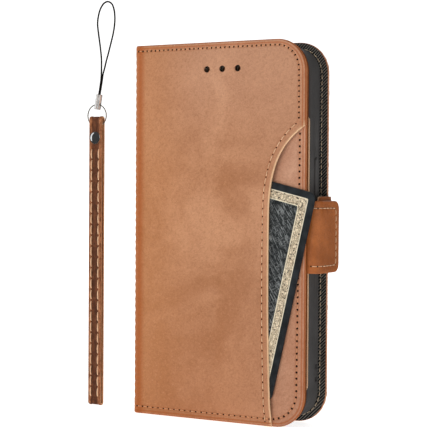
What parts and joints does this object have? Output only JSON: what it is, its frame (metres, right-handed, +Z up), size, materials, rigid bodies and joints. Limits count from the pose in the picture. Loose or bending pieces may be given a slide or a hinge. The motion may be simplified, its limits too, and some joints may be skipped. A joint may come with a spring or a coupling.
{
  "type": "phone wallet case",
  "caption": "Folding leather phone cover with an outside card pocket holding a card, a moulded phone shell, a magnetic side clasp and a separate wrist strap.",
  "frame": {"origin": "middle of the back cover's bottom edge, on the surface the case stands on", "axes": "+Z up along the case, +X from the spine to the fore-edge with the clasp, +Y from the front cover to the back cover"},
  "size_m": [0.1161, 0.0215, 0.1752],
  "materials": {
    "cover_leather": "tan split leather with a soft satin finish, mottled lighter and darker, stitched in tan thread",
    "inner_leather": "smooth tan leather, thinner and more even than the cover",
    "strap_leather": "brown leather band, darker down its middle, polished",
    "board": "grey-brown pressed fibre board, matte",
    "twill_lining": "black diagonal twill, matte",
    "shell": "dark grey moulded TPU, satin",
    "magnet": "plated magnet and steel keeper plate",
    "card": "black card with a champagne ornament border and an embossed centre",
    "bright_metal": "polished nickel plating",
    "cord": "black braided nylon cord"
  },
  "bodies": {
    "back_cover": {"back_cover_leather": "cover_leather", "back_cover_board": "board", "back_cover_lining": "twill_lining", "phone_shell": "shell", "rear_tab_root": "cover_leather"},
    "spine": {"spine_leather": "cover_leather", "spine_board": "board", "spine_lining": "twill_lining"},
    "front_cover": {"front_pocket_panel": "cover_leather", "front_cover_leather": "cover_leather", "front_cover_board": "board", "front_cover_lining": "inner_leather", "card_slot_panel_1": "inner_leather", "card_slot_panel_2": "inner_leather", "card_slot_panel_3": "inner_leather", "front_tab_root": "cover_leather"},
    "front_tab": {"front_tab_face": "cover_leather", "front_tab_magnet": "magnet", "front_tab_backing": "inner_leather"},
    "rear_tab": {"rear_tab_face": "cover_leather", "rear_tab_plate": "magnet", "rear_tab_backing": "inner_leather"},
    "card": {"pocket_card": "card"},
    "power_button": {"power_button_cover": "shell"},
    "volume_up_button": {"volume_up_cover": "shell"},
    "volume_down_button": {"volume_down_cover": "shell"},
    "wrist_strap": {"wrist_strap_band": "strap_leather", "wrist_strap_rivet": "bright_metal", "wrist_strap_ring": "bright_metal", "cord_crimp": "bright_metal", "cord_loop": "cord"}
  },
  "joints": [
    {"name": "spine_fold", "type": "hinge", "parent": "back_cover", "child": "spine", "pos_m": [-0.0391, -0.00015, 0.077], "axis": [0, 0, -1], "range_deg": [0, 90]},
    {"name": "cover_fold", "type": "hinge", "parent": "spine", "child": "front_cover", "pos_m": [-0.0391, -0.01785, 0.077], "axis": [0, 0, -1], "range_deg": [0, 90]},
    {"name": "front_tab_fold", "type": "hinge", "parent": "front_cover", "child": "front_tab", "pos_m": [0.04415, -0.0163, 0.0757], "axis": [0, 0, -1], "range_deg": [0, 90]},
    {"name": "rear_tab_fold", "type": "hinge", "parent": "back_cover", "child": "rear_tab", "pos_m": [0.0415, 0, 0.0757], "axis": [0, 0, 1], "range_deg": [0, 36]},
    {"name": "card_slide", "type": "slide", "parent": "front_cover", "child": "card", "axis": [1, 0, 0], "range_m": [0, 0.07]},
    {"name": "power_press", "type": "slide", "parent": "back_cover", "child": "power_button", "axis": [-1, 0, 0], "range_m": [0, 0.0004], "stiffness_N_per_m": 900},
    {"name": "volume_up_press", "type": "slide", "parent": "back_cover", "child": "volume_up_button", "axis": [1, 0, 0], "range_m": [0, 0.0004], "stiffness_N_per_m": 900},
    {"name": "volume_down_press", "type": "slide", "parent": "back_cover", "child": "volume_down_button", "axis": [1, 0, 0], "range_m": [0, 0.0004], "stiffness_N_per_m": 900},
    {"name": "strap_away", "type": "slide", "parent": "back_cover", "child": "wrist_strap", "axis": [-1, 0, 0], "range_m": [0, 0.06]}
  ],
  "couplings": [
    {"joint": "rear_tab_fold", "follows": "front_tab_fold", "ratio": 0.4}
  ]
}
